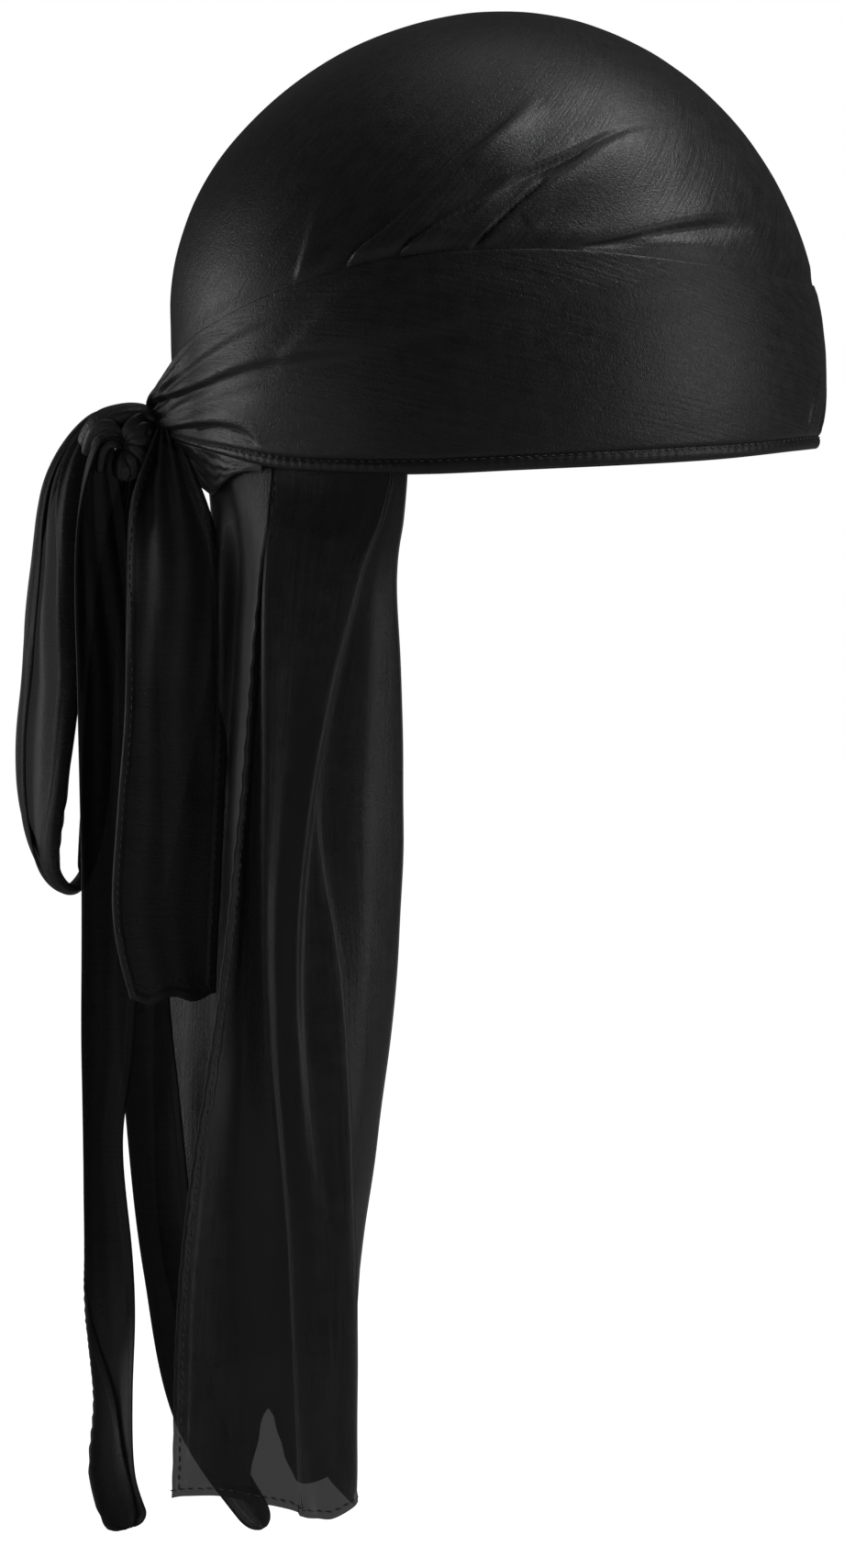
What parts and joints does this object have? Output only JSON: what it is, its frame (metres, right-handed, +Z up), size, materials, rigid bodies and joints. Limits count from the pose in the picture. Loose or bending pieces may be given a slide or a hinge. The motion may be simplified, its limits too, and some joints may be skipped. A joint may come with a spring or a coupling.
{
  "type": "durag",
  "caption": "Black satin head wrap in its worn form: a smooth domed crown, wide ties knotted at the nape with a hanging loop and ends, and a long folded cape over the neck.",
  "frame": {"origin": "middle of the head opening, at the height of the hem over the forehead", "axes": "+X towards the wearer's front, +Y towards the wearer's left, +Z up"},
  "size_m": [0.2324, 0.1522, 0.4311],
  "materials": {
    "satin_crown": "black satin with a soft sheen, pulled smooth over the dome",
    "satin_ties": "black satin with a soft sheen, gathered towards the knot",
    "satin_hanging": "black satin, one layer slightly see-through, with fine wrinkles",
    "binding": "rolled and stitched hem of the same black satin"
  },
  "bodies": {
    "root": {"crown": "satin_crown", "tie_band_right": "satin_ties", "tie_band_left": "satin_ties", "edge_binding": "binding", "nape_tuck": "satin_ties", "knot_core": "satin_ties", "knot_wrap": "satin_ties", "bow_loop": "satin_hanging", "short_tail": "satin_hanging", "long_tail": "satin_hanging", "under_tail": "satin_hanging", "cape": "satin_hanging"}
  },
  "joints": []
}
